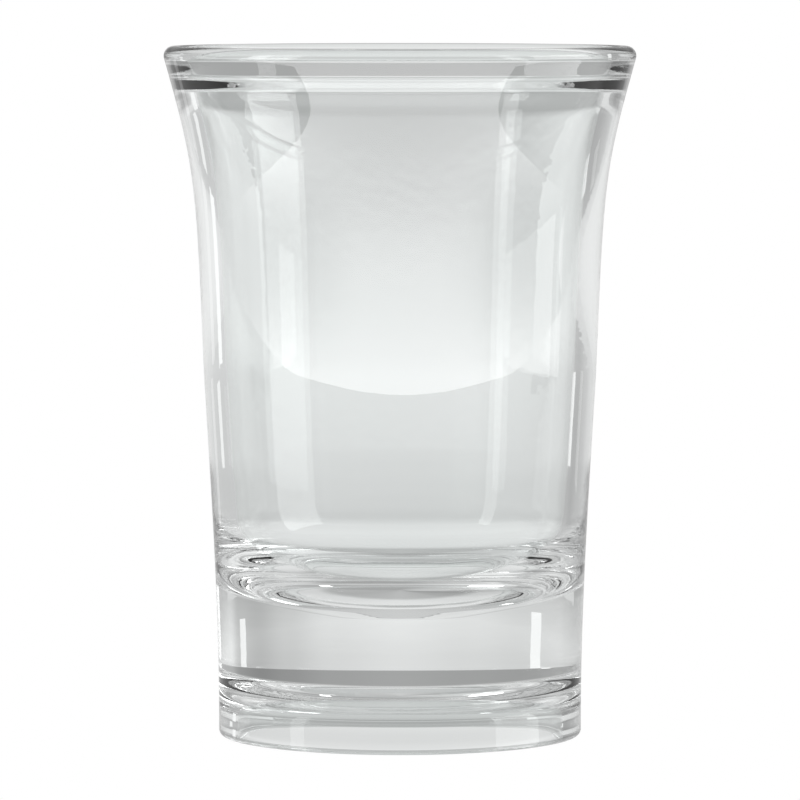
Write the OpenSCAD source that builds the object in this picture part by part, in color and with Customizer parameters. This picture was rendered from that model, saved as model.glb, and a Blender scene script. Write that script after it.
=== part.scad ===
// Shot glass, pressed in one piece from clear soda-lime glass.
// A flared cup stands on a thick solid base. The lip is stepped back on its inner
// side, the cavity ends in a shallow bowl, and the base is hollowed underneath, so
// that the glass rests on a narrow ring.
// +Z is up. The origin is the centre of that ring, on the table.

/* [Overall] */
// Height from the table to the top of the lip
height = 60; // [59:0.1:62]
// Outside diameter at the widest place of the lip
rim_d = 41; // [40:0.1:42]
// Outside diameter at the waist, where the straight body turns into the flare
waist_d = 34.2; // [33.8:0.1:34.8]
// Outside diameter of the foot
foot_d = 31.6; // [31:0.1:32.4]
// Height of the waist above the table
waist_z = 32.4; // [30:0.1:34]

/* [Wall and cavity] */
// Thickness of the side wall, measured level
wall = 1.9; // [1.6:0.05:2.1]
// Height of the lowest point of the cavity
floor_z = 10.8; // [10:0.1:12]
// Radius of the shallow bowl at the bottom of the cavity
bowl_r = 43; // [38:1:60]
// Radius of the round corner between the bowl and the wall
corner_r = 8; // [6:0.2:8.4]

/* [Lip] */
// Thickness of the lip above the step
lip_wall = 2; // [2:0.05:2.1]
// Height of the lower edge of the step inside the lip
step_z = 56.7; // [56:0.1:57]
// Height of the upper edge of the step
step_top_z = 57.6; // [57.3:0.1:57.8]

/* [Base] */
// Depth of the hollow under the base
hollow_z = 5.6; // [4.8:0.1:6]
// Inside diameter of the ring that the glass stands on
ring_d = 28.4; // [27:0.1:29]
// Radius of the round corner inside the hollow
hollow_r = 3.5; // [2.5:0.1:3.8]

/* [Hidden] */

$fn = 96;
curve_steps = 16;
corner_steps = 8;

rim_r = rim_d / 2;
waist_r = waist_d / 2;
foot_r = foot_d / 2;

// Outside: how steeply the flare and the waist lean out, as radius over height
flare_slope = 0.28;
waist_slope = 0.038;
// Height up to which the foot is upright
foot_z = 2;
// Lengths of the handles that shape the two outside curves
foot_handle = 11.6;
waist_handle = 3.9;
body_handle = 15.7;
flare_handle = 9.06;
// The straight slope of the flare ends this far below the top
flare_drop = 1.5;
flare_end_r = rim_r - 0.15;

// Roundings of the lip's two edges, of the step and of the foot's two edges
lip_out_r = 0.85;
lip_in_r = 1.05;
step_r = 1.2;
foot_out_r = 0.5;
foot_in_r = 0.4;

// Inside: the wall follows the outside from here up to just under the step
wall_from_z = 23;
wall_to_z = step_z - 1.4;
// The place where the bowl and the wall would meet if they had no round corner
corner_at_r = foot_r - 2;
corner_at_z = bowl_height(corner_at_r);
// The bowl itself is drawn out to here
bowl_edge_r = corner_at_r - 1.25 * corner_r;
bowl_steps = 4;

// Draft on the sides of the hollow, and on the inside of the lip
hollow_draft = 0.2;
lip_draft = 0.05;

function bowl_height(r) = floor_z + bowl_r - sqrt(bowl_r * bowl_r - r * r);

// Points on the cubic curve from a to d, which leaves towards b and arrives from c
function cubic(a, b, c, d) =
    [for (i = [0:curve_steps])
        let (t = i / curve_steps, s = 1 - t)
        s * s * s * a + 3 * s * s * t * b + 3 * s * t * t * c + t * t * t * d];

function unit(v) = v / norm(v);

// Points on the arc of radius r that rounds the corner at b, between a and c
function arc_at(a, b, c, r) =
    let (
        u = unit(a - b),
        v = unit(c - b),
        half = acos(u * v) / 2,
        centre = b + unit(u + v) * r / sin(half),
        from = b + u * r / tan(half) - centre,
        to = b + v * r / tan(half) - centre,
        start = atan2(from.y, from.x),
        turn = atan2(from.x * to.y - from.y * to.x, from * to)
    )
    [for (i = [0:corner_steps])
        centre + r * [cos(start + turn * i / corner_steps), sin(start + turn * i / corner_steps)]];

function flat(p) = [p.x, p.y];

// Rounds each corner [r, z, radius] of a path; corners of radius 0 stay as they are
function rounded(path) =
    [for (i = [0:len(path) - 1])
        each path[i][2] == 0
            ? [flat(path[i])]
            : arc_at(flat(path[i - 1]), flat(path[i]), flat(path[i + 1]), path[i][2])];

function sharp(points) = [for (p = points) [p.x, p.y, 0]];

// Outside of the body, from the foot up to the waist
body_curve = cubic(
    [foot_r, foot_z],
    [foot_r, foot_z + foot_handle],
    [waist_r - waist_slope * waist_handle, waist_z - waist_handle],
    [waist_r, waist_z]);

// Outside of the flare, from the waist up to the lip
flare_top = [flare_end_r, height - flare_drop];
flare_curve = cubic(
    [waist_r, waist_z],
    [waist_r + waist_slope * body_handle, waist_z + body_handle],
    flare_top - flare_handle * [flare_slope, 1],
    flare_top);

outside = concat(body_curve, [for (i = [1:curve_steps]) flare_curve[i]]);

bowl = [for (i = [0:bowl_steps])
    let (r = bowl_edge_r * i / bowl_steps)
    [r, bowl_height(r)]];

inner_wall = [for (p = outside) if (p.y > wall_from_z && p.y < wall_to_z) [p.x - wall, p.y]];
step_at_r = inner_wall[len(inner_wall) - 1].x + flare_slope * (step_z - wall_to_z);

cavity_path = concat(
    sharp(bowl),
    [[corner_at_r, corner_at_z, corner_r]],
    sharp(inner_wall),
    [
        [step_at_r, step_z, step_r],
        [rim_r - lip_wall, step_top_z, step_r],
        [rim_r - lip_wall + lip_draft, height, lip_in_r],
        [flare_end_r + flare_slope * flare_drop, height, lip_out_r]
    ]);

outside_path = sharp([for (i = [len(outside) - 1:-1:0]) outside[i]]);

base_path = [
    [foot_r, 0, foot_out_r],
    [ring_d / 2, 0, foot_in_r],
    [ring_d / 2 - hollow_draft, hollow_z, hollow_r],
    [0, hollow_z, 0]
];

// The one piece: half of its section, turned about the axis
module glass_body() {
    color([0.86, 0.92, 0.93, 0.35])
    rotate_extrude()
    polygon(rounded(concat(cavity_path, outside_path, base_path)));
}

glass_body();
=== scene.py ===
"""A clear shot glass, pressed in one piece and fire polished, on a pale studio table.

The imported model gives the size. The glass is turned again from a finer section by a Geometry
Nodes lathe, is dressed as clear soda-lime glass and stands in a small bright studio.
"""

import logging
import math
from dataclasses import dataclass, field
from enum import Enum

import bpy
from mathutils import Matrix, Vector


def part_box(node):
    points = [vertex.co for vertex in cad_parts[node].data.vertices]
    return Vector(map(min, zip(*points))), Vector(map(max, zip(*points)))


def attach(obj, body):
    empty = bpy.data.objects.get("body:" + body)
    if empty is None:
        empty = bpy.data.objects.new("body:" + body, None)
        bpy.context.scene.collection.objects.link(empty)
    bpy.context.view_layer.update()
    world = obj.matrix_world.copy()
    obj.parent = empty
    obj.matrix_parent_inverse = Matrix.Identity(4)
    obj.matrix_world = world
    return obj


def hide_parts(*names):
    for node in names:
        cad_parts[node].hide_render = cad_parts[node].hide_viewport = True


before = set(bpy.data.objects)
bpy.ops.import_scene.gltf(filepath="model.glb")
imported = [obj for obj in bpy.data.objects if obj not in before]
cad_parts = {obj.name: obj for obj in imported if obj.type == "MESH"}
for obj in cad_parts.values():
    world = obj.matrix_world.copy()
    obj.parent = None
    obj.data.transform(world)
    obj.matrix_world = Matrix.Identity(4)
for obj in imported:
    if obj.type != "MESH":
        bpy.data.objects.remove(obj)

log = logging.getLogger("shot_glass")

MM = 0.001
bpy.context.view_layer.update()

Point = tuple[float, float]
Corner = tuple[float, float, float]


def from_hex(code: str, alpha: float = 1.0) -> tuple[float, float, float, float]:
    """Turns an sRGB hex colour into scene-linear values.

    Args:
        code: Six hex digits, with or without a leading hash.
        alpha: The fourth value.

    Returns:
        Red, green, blue and alpha for a colour socket.
    """
    digits = code.lstrip("#")
    channels = [int(digits[i : i + 2], 16) / 255 for i in (0, 2, 4)]
    linear = [c / 12.92 if c <= 0.04045 else ((c + 0.055) / 1.055) ** 2.4 for c in channels]
    return (*linear, alpha)


def add_node(
    tree: bpy.types.NodeTree,
    kind: str,
    settings: dict | None = None,
    inputs: dict | None = None,
) -> bpy.types.Node:
    """Adds a node, sets it up and links what feeds it.

    Args:
        tree: The node tree to add to.
        kind: The node's type name.
        settings: Values for the node's own attributes.
        inputs: For each input, by name or number, an output socket to link or a plain value.

    Returns:
        The new node.
    """
    node = tree.nodes.new(kind)
    for name, value in (settings or {}).items():
        setattr(node, name, value)
    for key, value in (inputs or {}).items():
        if isinstance(value, bpy.types.NodeSocket):
            tree.links.new(value, node.inputs[key])
        else:
            node.inputs[key].default_value = value
    return node


def add_math(
    tree: bpy.types.NodeTree,
    operation: str,
    first: bpy.types.NodeSocket | float,
    second: bpy.types.NodeSocket | float = 0.0,
) -> bpy.types.NodeSocket:
    """Adds one arithmetic node.

    Args:
        tree: The node tree to add to.
        operation: What the node does, such as MULTIPLY.
        first: First value or the socket that gives it.
        second: Second value or the socket that gives it.

    Returns:
        The result's socket.
    """
    node = add_node(tree, "ShaderNodeMath", {"operation": operation}, {0: first, 1: second})
    return node.outputs[0]


def cubic(a: Point, b: Point, c: Point, d: Point, steps: int) -> list[Point]:
    """Points on the cubic curve from a to d.

    Args:
        a: The start.
        b: The handle that the curve leaves towards.
        c: The handle that the curve arrives from.
        d: The end.
        steps: How many stretches the curve is cut into.

    Returns:
        The points, with both ends.
    """
    points = []
    for i in range(steps + 1):
        t = i / steps
        s = 1 - t
        weights = (s**3, 3 * s * s * t, 3 * s * t * t, t**3)
        points.append(
            (
                sum(w * p[0] for w, p in zip(weights, (a, b, c, d))),
                sum(w * p[1] for w, p in zip(weights, (a, b, c, d))),
            )
        )
    return points


def arc_at(before: Point, corner: Point, after: Point, radius: float, steps: int) -> list[Point]:
    """Points on the arc that rounds one corner of a path.

    Args:
        before: The point before the corner.
        corner: The corner itself.
        after: The point after the corner.
        radius: Radius of the arc.
        steps: How many stretches the arc is cut into.

    Returns:
        The points, from where the arc leaves the first side to where it meets the second.
    """
    b = Vector(corner)
    u = (Vector(before) - b).normalized()
    v = (Vector(after) - b).normalized()
    half = u.angle(v) / 2
    centre = b + (u + v).normalized() * (radius / math.sin(half))
    start = b + u * (radius / math.tan(half)) - centre
    end = b + v * (radius / math.tan(half)) - centre
    first = math.atan2(start.y, start.x)
    turn = math.atan2(start.x * end.y - start.y * end.x, start.dot(end))
    angles = [first + turn * i / steps for i in range(steps + 1)]
    return [(centre.x + radius * math.cos(a), centre.y + radius * math.sin(a)) for a in angles]


def rounded(path: list[Corner], steps: int) -> list[Point]:
    """Rounds each corner of a path that has a radius.

    Args:
        path: Corners as radius from the axis, height and rounding radius.
        steps: How many stretches each rounding is cut into.

    Returns:
        The path with its corners rounded.
    """
    points: list[Point] = []
    for i, (r, z, radius) in enumerate(path):
        if radius == 0:
            points.append((r, z))
        else:
            points += arc_at(path[i - 1][:2], (r, z), path[i + 1][:2], radius, steps)
    return points


def evenly(points: list[Point], longest: float) -> list[Point]:
    """Cuts the long stretches of a path, so that smooth shading stays true on them.

    Args:
        points: The path.
        longest: No stretch is longer than this.

    Returns:
        The path with points added on its long stretches.
    """
    result = [points[0]]
    for (r0, z0), (r1, z1) in zip(points, points[1:]):
        parts = max(1, math.ceil(math.hypot(r1 - r0, z1 - z0) / longest))
        result += [(r0 + (r1 - r0) * i / parts, z0 + (z1 - z0) * i / parts) for i in range(1, parts + 1)]
    return result


@dataclass
class GlassSection:
    """Half of the glass's upright section, in millimetres.

    The height and the lip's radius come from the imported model. The rest repeats the design.
    """

    height: float
    rim_r: float
    waist_r: float = 17.1
    foot_r: float = 15.8
    waist_z: float = 32.4
    wall: float = 1.9
    floor_z: float = 10.8
    bowl_r: float = 43.0
    corner_r: float = 8.0
    lip_wall: float = 2.0
    step_z: float = 56.7
    step_top_z: float = 57.6
    hollow_z: float = 5.6
    ring_r: float = 14.2
    hollow_r: float = 3.5
    flare_slope: float = 0.28
    waist_slope: float = 0.038
    foot_z: float = 2.0
    foot_handle: float = 11.6
    waist_handle: float = 3.9
    body_handle: float = 15.7
    flare_handle: float = 9.06
    flare_drop: float = 1.5
    flare_in: float = 0.15
    lip_out_r: float = 0.85
    lip_in_r: float = 1.05
    step_r: float = 1.2
    foot_out_r: float = 0.5
    foot_in_r: float = 0.4
    wall_from_z: float = 23.0
    under_step: float = 1.4
    corner_in: float = 2.0
    corner_reach: float = 1.25
    hollow_draft: float = 0.2
    lip_draft: float = 0.05
    curve_steps: int = 40
    corner_steps: int = 14
    bowl_steps: int = 4
    longest: float = 0.8

    def bowl_height(self, r: float) -> float:
        """Height of the shallow bowl at radius r."""
        return self.floor_z + self.bowl_r - math.sqrt(self.bowl_r**2 - r * r)

    def outside(self) -> list[Point]:
        """Draws the outside of the body and of the flare.

        Returns:
            Its points, from the foot up to the lip.
        """
        waist = (self.waist_r, self.waist_z)
        top = (self.rim_r - self.flare_in, self.height - self.flare_drop)
        body = cubic(
            (self.foot_r, self.foot_z),
            (self.foot_r, self.foot_z + self.foot_handle),
            (self.waist_r - self.waist_slope * self.waist_handle, self.waist_z - self.waist_handle),
            waist,
            self.curve_steps,
        )
        flare = cubic(
            waist,
            (self.waist_r + self.waist_slope * self.body_handle, self.waist_z + self.body_handle),
            (top[0] - self.flare_handle * self.flare_slope, top[1] - self.flare_handle),
            top,
            self.curve_steps,
        )
        return body + flare[1:]

    def cavity(self) -> list[Corner]:
        """Draws the inside of the cup.

        Returns:
            Its corners, from the middle of the bowl up to and over the lip.
        """
        corner_at = self.foot_r - self.corner_in
        edge = corner_at - self.corner_reach * self.corner_r
        radii = [edge * i / self.bowl_steps for i in range(self.bowl_steps + 1)]
        bowl = [(r, self.bowl_height(r), 0.0) for r in radii]
        wall_to = self.step_z - self.under_step
        wall = [(r - self.wall, z, 0.0) for r, z in self.outside() if self.wall_from_z < z < wall_to]
        return [
            *bowl,
            (corner_at, self.bowl_height(corner_at), self.corner_r),
            *wall,
            (wall[-1][0] + self.flare_slope * self.under_step, self.step_z, self.step_r),
            (self.rim_r - self.lip_wall, self.step_top_z, self.step_r),
            (self.rim_r - self.lip_wall + self.lip_draft, self.height, self.lip_in_r),
            (self.rim_r - self.flare_in + self.flare_slope * self.flare_drop, self.height, self.lip_out_r),
        ]

    def base(self) -> list[Corner]:
        """Draws the foot ring and the hollow under the base.

        Returns:
            Their corners, from the foot's outer edge in to the axis.
        """
        return [
            (self.foot_r, 0.0, self.foot_out_r),
            (self.ring_r, 0.0, self.foot_in_r),
            (self.ring_r - self.hollow_draft, self.hollow_z, self.hollow_r),
            (0.0, self.hollow_z, 0.0),
        ]

    def points(self) -> list[Point]:
        """Draws the whole half section.

        Returns:
            Its points, from the axis in the cup to the axis under the base.
        """
        outside = [(r, z, 0.0) for r, z in reversed(self.outside())]
        path = self.cavity() + outside + self.base()
        return evenly(rounded(path, self.corner_steps), self.longest)


@dataclass
class Lathe:
    """A Geometry Nodes lathe: it turns a section drawn in the XZ plane about the Z axis.

    The ripple fades out towards the axis inside calm_radius. It is drawn out along the height,
    and the smaller ripple_stretch is, the longer it gets.
    """

    segments: int = 256
    ripple: float = 0.006 * MM
    ripple_across: float = 9 * MM
    ripple_stretch: float = 0.4
    calm_radius: float = 10 * MM
    weld: float = 0.0005 * MM

    def tree(self) -> bpy.types.NodeTree:
        """Builds the lathe's node tree.

        Returns:
            The tree, whose named inputs are the section, the segments, the ripple and the glass.
        """
        tree = bpy.data.node_groups.new("section_lathe", "GeometryNodeTree")
        sockets = tree.interface
        sockets.new_socket("Section", in_out="INPUT", socket_type="NodeSocketGeometry")
        for name, kind in (
            ("Segments", "NodeSocketInt"),
            ("Ripple Depth", "NodeSocketFloat"),
            ("Ripple Across", "NodeSocketFloat"),
            ("Weld Distance", "NodeSocketFloat"),
            ("Glass", "NodeSocketMaterial"),
        ):
            sockets.new_socket(name, in_out="INPUT", socket_type=kind)
        sockets.new_socket("Glass Body", in_out="OUTPUT", socket_type="NodeSocketGeometry")
        given = add_node(tree, "NodeGroupInput").outputs

        # A grid with one column for each turn step and one row for each point of the section.
        rows = add_node(tree, "GeometryNodeAttributeDomainSize", {"component": "MESH"}, {0: given["Section"]})
        count = rows.outputs["Point Count"]
        columns = add_math(tree, "ADD", given["Segments"], 1.0)
        grid = add_node(tree, "GeometryNodeMeshGrid", None, {"Vertices X": columns, "Vertices Y": count})
        index = add_node(tree, "GeometryNodeInputIndex").outputs[0]
        column = add_math(tree, "FLOOR", add_math(tree, "DIVIDE", add_math(tree, "ADD", index, 0.5), count))
        row = add_math(tree, "SUBTRACT", index, add_math(tree, "MULTIPLY", column, count))

        # Each grid point takes its radius and height from the section, and its angle from its column.
        drawn = add_node(tree, "GeometryNodeInputPosition").outputs[0]
        sample = add_node(
            tree,
            "GeometryNodeSampleIndex",
            {"data_type": "FLOAT_VECTOR", "domain": "POINT"},
            {"Geometry": given["Section"], "Value": drawn, "Index": row},
        )
        place = add_node(tree, "ShaderNodeSeparateXYZ", None, {0: sample.outputs["Value"]})
        turn = add_math(tree, "DIVIDE", add_math(tree, "MULTIPLY", column, math.tau), given["Segments"])
        cosine = add_math(tree, "COSINE", turn)
        sine = add_math(tree, "SINE", turn)
        radius, height = place.outputs["X"], place.outputs["Z"]

        # Pressed glass isn't quite true: a ripple draws the radius in by a few thousandths of a millimetre.
        around = add_node(
            tree,
            "ShaderNodeCombineXYZ",
            None,
            {
                0: add_math(tree, "MULTIPLY", radius, cosine),
                1: add_math(tree, "MULTIPLY", radius, sine),
                2: add_math(tree, "MULTIPLY", height, self.ripple_stretch),
            },
        )
        noise = add_node(
            tree,
            "ShaderNodeTexNoise",
            {"noise_dimensions": "3D"},
            {
                "Vector": around.outputs[0],
                "Scale": add_math(tree, "DIVIDE", 1.0, given["Ripple Across"]),
                "Detail": 1.0,
            },
        )
        share = add_math(tree, "MINIMUM", add_math(tree, "DIVIDE", radius, self.calm_radius), 1.0)
        full_depth = add_math(tree, "MULTIPLY", noise.outputs[0], given["Ripple Depth"])
        depth = add_math(tree, "MULTIPLY", full_depth, share)
        true_radius = add_math(tree, "SUBTRACT", radius, depth)
        turned = add_node(
            tree,
            "ShaderNodeCombineXYZ",
            None,
            {
                0: add_math(tree, "MULTIPLY", true_radius, cosine),
                1: add_math(tree, "MULTIPLY", true_radius, sine),
                2: height,
            },
        )
        shaped = add_node(
            tree,
            "GeometryNodeSetPosition",
            None,
            {"Geometry": grid.outputs["Mesh"], "Position": turned.outputs[0]},
        )

        # The first and last column meet in a seam, and the two poles close in one point each.
        closed = add_node(
            tree,
            "GeometryNodeMergeByDistance",
            None,
            {"Geometry": shaped.outputs[0], "Distance": given["Weld Distance"]},
        )
        outward = add_node(tree, "GeometryNodeFlipFaces", None, {"Mesh": closed.outputs[0]})
        smooth = add_node(tree, "GeometryNodeSetShadeSmooth", None, {"Geometry": outward.outputs[0]})
        real = add_node(tree, "GeometryNodeRealizeInstances", None, {"Geometry": smooth.outputs[0]})
        dressed = add_node(
            tree,
            "GeometryNodeSetMaterial",
            None,
            {"Geometry": real.outputs[0], "Material": given["Glass"]},
        )
        add_node(tree, "NodeGroupOutput", None, {0: dressed.outputs[0]})
        return tree

    def turn(self, name: str, section: list[Point], glass: bpy.types.Material) -> bpy.types.Object:
        """Turns a section into a closed solid.

        Args:
            name: The new object's name.
            section: Radius and height of each point, in millimetres.
            glass: The material of the solid.

        Returns:
            The solid as a plain mesh, standing on the XY plane about the Z axis.
        """
        line = bpy.data.meshes.new(name + "_section")
        edges = [(i, i + 1) for i in range(len(section) - 1)]
        line.from_pydata([(r * MM, 0.0, z * MM) for r, z in section], edges, [])
        blank = bpy.data.objects.new(name + "_blank", line)
        bpy.context.scene.collection.objects.link(blank)
        tree = self.tree()
        modifier = blank.modifiers.new("lathe", "NODES")
        modifier.node_group = tree
        keys = {item.name: item.identifier for item in tree.interface.items_tree if item.in_out == "INPUT"}
        modifier[keys["Segments"]] = self.segments
        modifier[keys["Ripple Depth"]] = self.ripple
        modifier[keys["Ripple Across"]] = self.ripple_across
        modifier[keys["Weld Distance"]] = self.weld
        modifier[keys["Glass"]] = glass
        graph = bpy.context.evaluated_depsgraph_get()
        mesh = bpy.data.meshes.new_from_object(blank.evaluated_get(graph), depsgraph=graph)
        mesh.name = name
        blank.modifiers.remove(modifier)
        bpy.data.objects.remove(blank)
        solid = bpy.data.objects.new(name, mesh)
        bpy.context.scene.collection.objects.link(solid)
        return solid


@dataclass(frozen=True)
class ClearGlass:
    """Clear soda-lime glass, pressed and fire polished.

    It has next to no colour of its own, bends light strongly and is mirror smooth apart from the
    faint unevenness that the mould leaves. The eye sees the studio through it, drawn into bands,
    and dark lines where the wall turns away.
    """

    colour: str = "#FDFEFE"
    thick_colour: str = "#FAFDFC"
    index: float = 1.52
    roughness: float = 0.0
    skin_depth: float = 0.003 * MM
    skin_across: float = 0.95 * MM
    colour_across: float = 18 * MM

    def material(self) -> bpy.types.Material:
        """Builds the finish.

        Returns:
            The material.
        """
        glass = bpy.data.materials.new("clear_soda_lime_glass")
        glass.use_nodes = True
        tree = glass.node_tree
        tree.nodes.clear()
        place = add_node(tree, "ShaderNodeTexCoord").outputs["Object"]
        # The melt is a shade greener in some places than in others.
        melt = add_node(
            tree,
            "ShaderNodeTexNoise",
            None,
            {"Vector": place, "Scale": 1 / self.colour_across, "Detail": 2.0},
        )
        tint = add_node(
            tree,
            "ShaderNodeMix",
            {"data_type": "RGBA"},
            {0: melt.outputs[0], 6: from_hex(self.colour), 7: from_hex(self.thick_colour)},
        )
        # The plunger leaves the skin of the cavity very slightly dimpled. The outside is smooth.
        facing = add_node(
            tree,
            "ShaderNodeVectorMath",
            {"operation": "DOT_PRODUCT"},
            {0: add_node(tree, "ShaderNodeNewGeometry").outputs["True Normal"], 1: place},
        )
        plunged = add_math(tree, "LESS_THAN", facing.outputs["Value"], 0.0)
        skin = add_node(
            tree,
            "ShaderNodeTexNoise",
            None,
            {"Vector": place, "Scale": 1 / self.skin_across, "Detail": 1.0, "Roughness": 0.4},
        )
        dimples = add_node(
            tree,
            "ShaderNodeBump",
            None,
            {"Height": skin.outputs[0], "Distance": self.skin_depth, "Strength": plunged},
        )
        shader = add_node(
            tree,
            "ShaderNodeBsdfPrincipled",
            None,
            {
                "Base Color": tint.outputs[2],
                "Roughness": self.roughness,
                "IOR": self.index,
                "Transmission Weight": 1.0,
                "Normal": dimples.outputs[0],
            },
        )
        add_node(tree, "ShaderNodeOutputMaterial", None, {"Surface": shader.outputs[0]})
        return glass


@dataclass
class GlassBody:
    """The whole glass, which is one piece: cup, stepped lip, thick base and hollow underside."""

    finish: ClearGlass = field(default_factory=ClearGlass)
    lathe: Lathe = field(default_factory=Lathe)

    def build(self) -> bpy.types.Object:
        """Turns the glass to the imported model's height and lip.

        Returns:
            The glass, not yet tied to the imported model.
        """
        low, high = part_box("glass_body")
        section = GlassSection(height=(high.z - low.z) / MM, rim_r=(high.x - low.x) / 2 / MM)
        return self.lathe.turn("shot_glass_body", section.points(), self.finish.material())

    def dress(self, body: bpy.types.Object) -> bpy.types.Object:
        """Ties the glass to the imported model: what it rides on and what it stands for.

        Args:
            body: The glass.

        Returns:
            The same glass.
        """
        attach(body, "root")
        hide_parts("glass_body")
        return body


class Fade(Enum):
    """The way in which a light card's brightness changes."""

    UPWARD = "Z"
    SIDEWAYS = "X"


def glowing(name: str, near: float, far: float, start: float, end: float, fade: Fade) -> bpy.types.Material:
    """Makes the glowing cloth of a light card.

    Args:
        name: Name of the cloth.
        near: Brightness up to the distance start, where a white wall is 1.
        far: Brightness from the distance end on.
        start: Distance from the table or from the middle, in millimetres, where the change begins.
        end: Distance where the change ends.
        fade: The way in which the distance is measured.

    Returns:
        The material.
    """
    cloth = bpy.data.materials.new(name)
    cloth.use_nodes = True
    tree = cloth.node_tree
    tree.nodes.clear()
    place = add_node(tree, "ShaderNodeNewGeometry").outputs["Position"]
    along = add_node(tree, "ShaderNodeSeparateXYZ", None, {0: place}).outputs[fade.value]
    distance = along if fade is Fade.UPWARD else add_math(tree, "ABSOLUTE", along)
    level = add_node(
        tree,
        "ShaderNodeMapRange",
        {"interpolation_type": "SMOOTHSTEP"},
        {
            "Value": distance,
            "From Min": start * MM,
            "From Max": end * MM,
            "To Min": near,
            "To Max": far,
        },
    )
    glow = add_node(
        tree,
        "ShaderNodeEmission",
        None,
        {"Color": from_hex("#FFFFFF"), "Strength": level.outputs[0]},
    )
    add_node(tree, "ShaderNodeOutputMaterial", None, {"Surface": glow.outputs[0]})
    return cloth


def set_up(name: str, mesh: bpy.types.Mesh, cloth: bpy.types.Material) -> bpy.types.Object:
    """Puts a piece of studio gear in the scene, out of the camera's sight.

    Args:
        name: The object's name.
        mesh: Its mesh, in place.
        cloth: Its material.

    Returns:
        The new object, staged.
    """
    mesh.materials.append(cloth)
    gear = bpy.data.objects.new(name, mesh)
    bpy.context.scene.collection.objects.link(gear)
    gear.visible_camera = False
    gear.visible_shadow = False
    return gear


@dataclass(frozen=True)
class Softbox:
    """One upright light card, curved round the glass, which the glass sees and the camera doesn't.

    Angles are in degrees from the way in which the camera looks, positive to its right. Lengths
    are in millimetres. Its brightness is low up to the height low_at and high from high_at on. It
    reaches below the table, as its mirror image in a glossy table would.
    """

    name: str
    start: float
    end: float
    low: float
    high: float
    bottom: float = -30.0
    top: float = 300.0
    distance: float = 520.0
    low_at: float = 40.0
    high_at: float = 200.0
    widest_strip: float = 4.0

    def build(self) -> bpy.types.Object:
        """Makes the card out of flat strips.

        Returns:
            The card, staged.
        """
        steps = max(1, math.ceil((self.end - self.start) / self.widest_strip))
        verts = []
        for i in range(steps + 1):
            angle = math.radians(self.start + (self.end - self.start) * i / steps)
            x, y = self.distance * math.sin(angle), self.distance * math.cos(angle)
            verts += [(x * MM, y * MM, self.bottom * MM), (x * MM, y * MM, self.top * MM)]
        faces = [(2 * i, 2 * i + 2, 2 * i + 3, 2 * i + 1) for i in range(steps)]
        mesh = bpy.data.meshes.new(self.name)
        mesh.from_pydata(verts, [], faces)
        cloth = glowing(
            self.name + "_cloth",
            self.low,
            self.high,
            self.low_at,
            self.high_at,
            Fade.UPWARD,
        )
        return set_up(self.name, mesh, cloth)


@dataclass(frozen=True)
class CollarReflector:
    """A level white sheet with a round hole, around the glass and seen only as a reflection.

    The edge of its hole draws the sharp curve across the front of the glass. Lengths are in
    millimetres. Start and end are degrees about the hole's centre, from the X axis. Brightness
    falls from bright to dim between two distances to the side of the glass.
    """

    name: str = "collar_reflector"
    bright: float = 4.2
    dim: float = 0.7
    bright_to: float = 40.0
    dim_from: float = 175.0
    height: float = 22.0
    centre: tuple[float, float] = (-3.0, 116.0)
    hole: float = 182.0
    outside: float = 320.0
    start: float = 200.0
    end: float = 335.0
    steps: int = 80

    def build(self) -> bpy.types.Object:
        """Makes the sheet, as the part of a ring that lies in front of the glass.

        Returns:
            The sheet, staged.
        """
        verts = []
        for i in range(self.steps + 1):
            angle = math.radians(self.start + (self.end - self.start) * i / self.steps)
            for radius in (self.hole, self.outside):
                x = self.centre[0] + radius * math.cos(angle)
                y = self.centre[1] + radius * math.sin(angle)
                verts.append((x * MM, y * MM, self.height * MM))
        faces = [(2 * i, 2 * i + 1, 2 * i + 3, 2 * i + 2) for i in range(self.steps)]
        mesh = bpy.data.meshes.new(self.name)
        mesh.from_pydata(verts, [], faces)
        cloth = glowing(
            self.name + "_cloth",
            self.bright,
            self.dim,
            self.bright_to,
            self.dim_from,
            Fade.SIDEWAYS,
        )
        sheet = set_up(self.name, mesh, cloth)
        sheet.visible_transmission = False
        return sheet


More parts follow.
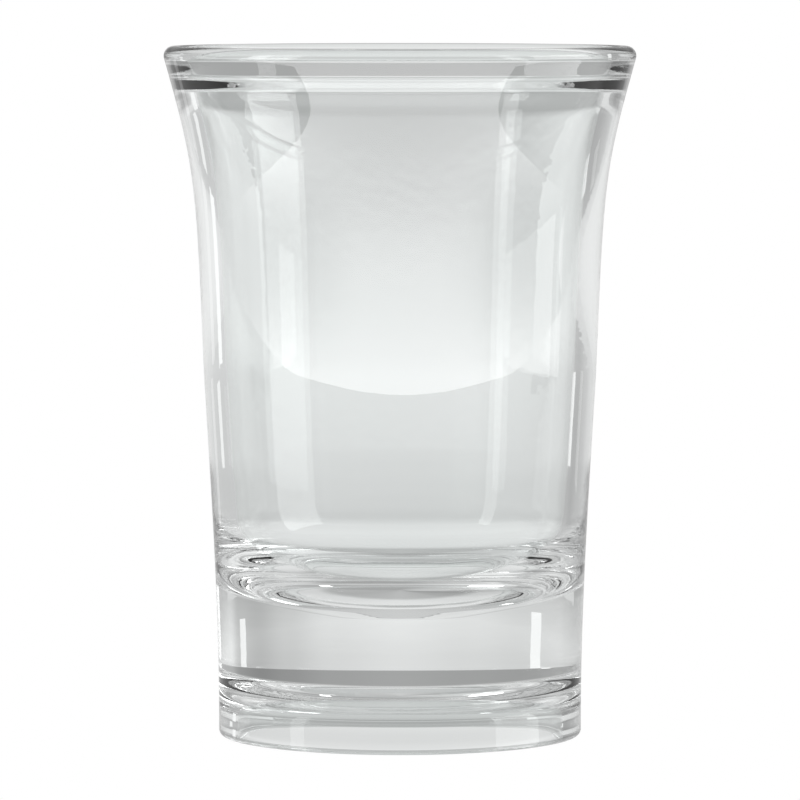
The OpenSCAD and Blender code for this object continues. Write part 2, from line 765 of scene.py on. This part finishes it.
@dataclass(frozen=True)
class Backdrop:
    """What lies all round the glass: a soft grey room over a table that fades towards its far edge.

    Each stop is an angle in degrees and a brightness, where a white wall is 1. Heights are above
    the horizon. Sides are from the way in which the camera looks, positive to its right.
    """

    by_height: tuple[tuple[float, float], ...] = (
        (-90.0, 0.50),
        (-58.0, 0.50),
        (-46.0, 0.78),
        (-30.0, 0.80),
        (-22.0, 0.84),
        (-17.0, 0.80),
        (-13.0, 0.65),
        (-7.0, 0.70),
        (-4.7, 0.77),
        (-3.8, 0.86),
        (-3.0, 0.75),
        (-2.5, 0.65),
        (-1.9, 0.50),
        (-1.0, 0.40),
        (1.0, 0.42),
        (3.2, 0.62),
        (4.2, 0.62),
        (5.2, 0.38),
        (9.0, 0.38),
        (13.0, 0.55),
        (30.0, 0.62),
    )
    by_side: tuple[tuple[float, float], ...] = (
        (-180.0, 0.75),
        (-90.0, 0.75),
        (-57.0, 0.90),
        (-30.0, 0.85),
        (-15.0, 0.92),
        (0.0, 1.0),
        (15.0, 0.92),
        (27.0, 0.76),
        (39.0, 0.62),
        (51.0, 0.72),
        (60.0, 1.15),
        (80.0, 1.15),
        (180.0, 0.75),
    )

    @staticmethod
    def curve(
        tree: bpy.types.NodeTree,
        angle: bpy.types.NodeSocket,
        stops: tuple[tuple[float, float], ...],
    ) -> bpy.types.NodeSocket:
        """Adds a ramp that turns an angle into a brightness.

        Args:
            tree: The node tree to add to.
            angle: The socket that gives the angle, in degrees.
            stops: Pairs of angle and brightness, in rising order.

        Returns:
            The brightness's socket.
        """
        first, last = stops[0][0], stops[-1][0]
        share = add_node(
            tree,
            "ShaderNodeMapRange",
            None,
            {"Value": angle, "From Min": first, "From Max": last, "To Min": 0.0, "To Max": 1.0},
        )
        ramp = add_node(tree, "ShaderNodeValToRGB", None, {0: share.outputs[0]})
        ramp.color_ramp.interpolation = "EASE"
        points = ramp.color_ramp.elements
        while len(points) < len(stops):
            points.new(0.5)
        for point, (at, _) in zip(points, stops):
            point.position = (at - first) / (last - first)
        for point, (_, level) in zip(points, stops):
            point.color = (level, level, level, 1.0)
        return ramp.outputs[0]

    def build(self) -> None:
        """Makes the world: white where the camera looks past the glass, and the room elsewhere."""
        world = bpy.data.worlds.new("studio_room")
        bpy.context.scene.world = world
        world.use_nodes = True
        tree = world.node_tree
        tree.nodes.clear()
        toward = add_node(tree, "ShaderNodeTexCoord").outputs["Generated"]
        part = add_node(tree, "ShaderNodeSeparateXYZ", None, {0: toward}).outputs
        rise = add_math(tree, "DEGREES", add_math(tree, "ARCSINE", part["Z"]))
        aside = add_math(tree, "DEGREES", add_math(tree, "ARCTAN2", part["X"], part["Y"]))
        level = add_math(
            tree,
            "MULTIPLY",
            self.curve(tree, rise, self.by_height),
            self.curve(tree, aside, self.by_side),
        )
        seen = add_node(tree, "ShaderNodeLightPath").outputs["Is Camera Ray"]
        shown = add_node(tree, "ShaderNodeMix", {"data_type": "FLOAT"}, {0: seen, 2: level, 3: 1.0})
        sky = add_node(
            tree,
            "ShaderNodeBackground",
            None,
            {"Color": from_hex("#FFFFFF"), "Strength": shown.outputs[0]},
        )
        add_node(tree, "ShaderNodeOutputWorld", None, {"Surface": sky.outputs[0]})


@dataclass
class Studio:
    """The pale table, the light cards and the room around the glass.

    The table's size is in metres. It lies a hair below the foot, so that the two don't touch.
    """

    floor_size: float = 40.0
    floor_drop: float = 0.05 * MM
    bounces: int = 24
    backdrop: Backdrop = Backdrop()
    collar: CollarReflector = CollarReflector()
    softboxes: tuple[Softbox, ...] = (
        Softbox("right_softbox", start=75.0, end=113.0, low=2.1, high=3.7),
        Softbox("left_softbox", start=-113.0, end=-102.0, low=1.9, high=3.0),
        Softbox("right_strip", start=45.0, end=49.0, low=1.0, high=1.0, bottom=-42.0, top=-17.0),
        Softbox("left_strip", start=-37.5, end=-33.0, low=1.0, high=1.0, bottom=-42.0, top=-17.0),
        Softbox("left_edge_strip", start=-43.0, end=-38.0, low=1.1, high=1.1, bottom=-12.0, top=60.0),
        Softbox(
            "left_fill",
            start=-62.0,
            end=-9.0,
            low=0.74,
            high=0.86,
            bottom=-9.0,
            top=22.0,
            distance=540.0,
            low_at=-9.0,
            high_at=0.0,
        ),
        Softbox(
            "right_fill",
            start=9.0,
            end=60.0,
            low=0.70,
            high=0.84,
            bottom=-9.0,
            top=22.0,
            distance=540.0,
            low_at=-9.0,
            high_at=0.0,
        ),
    )

    def floor(self) -> bpy.types.Object:
        """Makes the pale table top, which only the camera sees.

        Returns:
            The table top, staged.
        """
        half = self.floor_size / 2
        corners = [(-half, -half, 0), (half, -half, 0), (half, half, 0), (-half, half, 0)]
        mesh = bpy.data.meshes.new("table_top")
        mesh.from_pydata(corners, [], [(0, 1, 2, 3)])
        paper = glowing("white_table_paper", near=1.0, far=1.0, start=0.0, end=1.0, fade=Fade.UPWARD)
        floor = set_up("table_top", mesh, paper)
        floor.location.z = -self.floor_drop
        floor.visible_camera = True
        floor.visible_glossy = False
        floor.visible_transmission = False
        floor.visible_diffuse = False
        return floor

    def build(self) -> None:
        """Sets the room up."""
        self.floor()
        self.backdrop.build()
        self.collar.build()
        for softbox in self.softboxes:
            softbox.build()
        scene = bpy.context.scene
        scene.view_settings.view_transform = "Standard"
        # Light crosses the glass many times, above all in the base, before it gets out.
        scene.cycles.max_bounces = self.bounces
        scene.cycles.transmission_bounces = self.bounces
        scene.cycles.glossy_bounces = self.bounces


@dataclass
class BenchCamera:
    """A long lens a little above the lip, tilted down.

    Distance, eye, lens and sensor are in millimetres, the tilt in degrees, and the nearest and
    farthest thing that it shows in metres.
    """

    distance: float = 558.0
    eye: float = 67.4
    tilt: float = 3.915
    lens: float = 289.06
    sensor: float = 36.0
    nearest: float = 0.05
    farthest: float = 50.0

    def build(self) -> bpy.types.Object:
        """Makes the camera and gives it to the scene.

        Returns:
            The camera.
        """
        data = bpy.data.cameras.new("bench_camera")
        data.sensor_width = self.sensor
        data.lens = self.lens
        data.clip_start = self.nearest
        data.clip_end = self.farthest
        camera = bpy.data.objects.new("bench_camera", data)
        bpy.context.scene.collection.objects.link(camera)
        camera.location = (0, -self.distance * MM, self.eye * MM)
        camera.rotation_euler = (math.radians(90 - self.tilt), 0, 0)
        bpy.context.scene.camera = camera
        return camera


def main() -> None:
    """Builds the glass, the studio and the camera, in that order."""
    logging.basicConfig(level=logging.INFO, format="%(name)s: %(message)s")
    glass = GlassBody()
    body = glass.dress(glass.build())
    log.info("%s: %d vertices, %d faces", body.name, len(body.data.vertices), len(body.data.polygons))
    Studio().build()
    camera = BenchCamera().build()
    log.info("%s: lens %.1f mm", camera.name, camera.data.lens)


if __name__ == "__main__":
    main()
